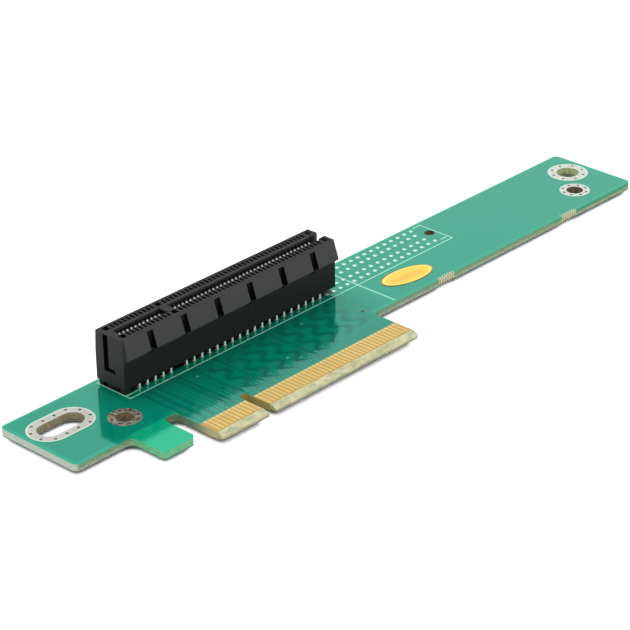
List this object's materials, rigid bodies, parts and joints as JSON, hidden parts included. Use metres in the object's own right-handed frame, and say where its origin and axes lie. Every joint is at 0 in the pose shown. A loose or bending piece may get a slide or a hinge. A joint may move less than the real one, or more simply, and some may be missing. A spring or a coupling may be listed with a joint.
{
  "type": "riser card",
  "caption": "Green riser card with a bevelled gold finger edge and a black upright card slot standing on its upper face.",
  "frame": {"origin": "middle of the footprint of the whole card, at the height of the lowest solder tail", "axes": "+X along the board from the mounting slot end to the plain end, +Y from the finger edge to the rear edge, +Z out of the face that carries the card slot"},
  "size_m": [0.1574, 0.032, 0.0138],
  "materials": {
    "green_laminate": "satin solder mask over glass epoxy, cream at the cut edges",
    "gold_plate": "satin gold plate",
    "black_moulding": "fine satin moulded nylon",
    "tinned_contact": "bright tinned strip",
    "solder_plate": "bright solder coat",
    "white_ink": "matt printed ink",
    "yellow_label": "satin printed label"
  },
  "bodies": {
    "root": {"circuit_board": "green_laminate", "edge_contacts_top": "gold_plate", "edge_contacts_bottom": "gold_plate", "slot_housing": "black_moulding", "slot_contacts_front_outer_short_bank": "tinned_contact", "slot_contacts_front_outer_long_bank": "tinned_contact", "slot_contacts_front_inner_short_bank": "tinned_contact", "slot_contacts_front_inner_long_bank": "tinned_contact", "slot_contacts_rear_outer_short_bank": "tinned_contact", "slot_contacts_rear_outer_long_bank": "tinned_contact", "slot_contacts_rear_inner_short_bank": "tinned_contact", "slot_contacts_rear_inner_long_bank": "tinned_contact", "fixing_pads_top": "solder_plate", "fixing_pads_bottom": "solder_plate", "spare_lands_front_outer": "solder_plate", "spare_lands_front_inner": "solder_plate", "spare_lands_rear_inner": "solder_plate", "spare_lands_rear_outer": "solder_plate", "slot_outline_ink": "white_ink", "divider_ink": "white_ink", "oval_sticker": "yellow_label"}
  },
  "joints": []
}
